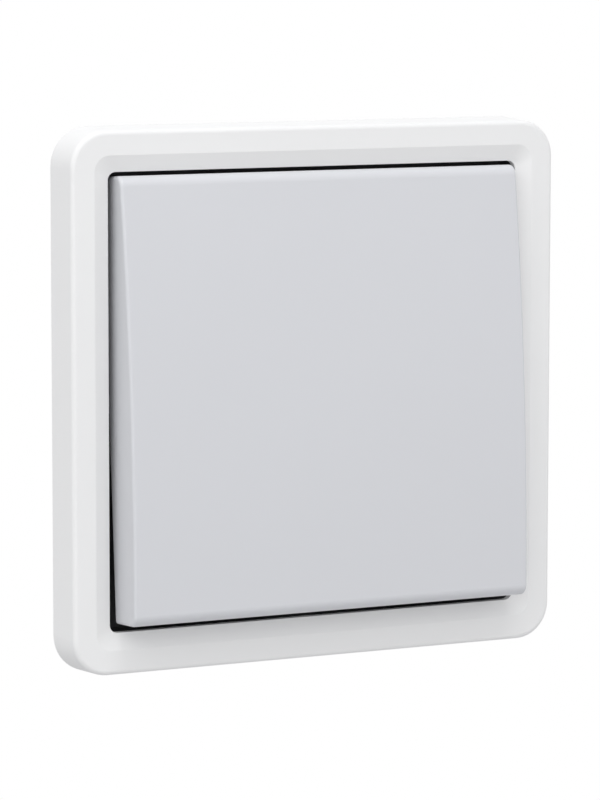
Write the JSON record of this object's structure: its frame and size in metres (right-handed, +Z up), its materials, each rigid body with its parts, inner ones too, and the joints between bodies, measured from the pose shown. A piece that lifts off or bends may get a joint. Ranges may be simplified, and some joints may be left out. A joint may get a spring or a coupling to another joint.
{
  "type": "weatherproof light switch",
  "caption": "Flush-mounted weatherproof rocker light switch: square cover frame, large crowned rocker, seals, support ring and two-way switch insert.",
  "frame": {"origin": "centre of the square on the wall's surface, midway between the two box screws", "axes": "+X to the right seen from the front, +Z up, +Y into the wall; the rocker faces -Y"},
  "size_m": [0.085, 0.0374, 0.085],
  "materials": {
    "frame_plastic": "moulded white plastic, fine satin",
    "rocker_plastic": "moulded light grey plastic, satin",
    "carrier_plastic": "black glass-filled plastic",
    "cradle_plastic": "natural pale plastic",
    "insert_plastic": "grey thermoset",
    "seal_rubber": "soft black elastomer",
    "ring_steel": "stamped steel, bright zinc plate",
    "screw_steel": "bright zinc plate",
    "spring_steel": "drawn wire",
    "terminal_brass": "machined",
    "strip_copper": "stamped copper alloy",
    "contact_silver": "silver contact buttons"
  },
  "bodies": {
    "mounting": {"cover_frame": "frame_plastic", "frame_gasket": "seal_rubber", "carrier": "carrier_plastic", "carrier_screws": "screw_steel", "flush_seal": "seal_rubber", "support_ring": "ring_steel", "box_screws": "screw_steel", "sealing_sleeve": "seal_rubber", "insert_cover": "insert_plastic", "insert_base": "insert_plastic", "insert_screws": "screw_steel", "terminal_pillars": "terminal_brass", "terminal_screws": "screw_steel", "common_strip": "strip_copper", "upper_strip": "strip_copper", "lower_strip": "strip_copper", "fixed_contacts": "contact_silver"},
    "rocker": {"rocker_cap": "rocker_plastic", "rocker_cradle": "cradle_plastic", "plunger_spring": "spring_steel"},
    "plunger": {"plunger": "cradle_plastic"},
    "contact_lever": {"contact_lever": "strip_copper", "lever_contacts": "contact_silver"}
  },
  "joints": [
    {"name": "rocker_tilt", "type": "hinge", "parent": "mounting", "child": "rocker", "pos_m": [0, -0.001, 0], "axis": [1, 0, 0], "range_deg": [0, 7.86]},
    {"name": "plunger_slide", "type": "slide", "parent": "rocker", "child": "plunger", "axis": [0, 0.9976, -0.0685], "range_m": [-0.0005, 0], "stiffness_N_per_m": 400, "springref_m": 0.003, "deforming": ["plunger_spring"]},
    {"name": "contact_rock", "type": "hinge", "parent": "mounting", "child": "contact_lever", "pos_m": [0, 0.01375, 0], "axis": [1, 0, 0], "range_deg": [-16, 0]}
  ],
  "couplings": [
    {"joint": "contact_rock", "follows": "rocker_tilt", "ratio": -2.0356}
  ]
}
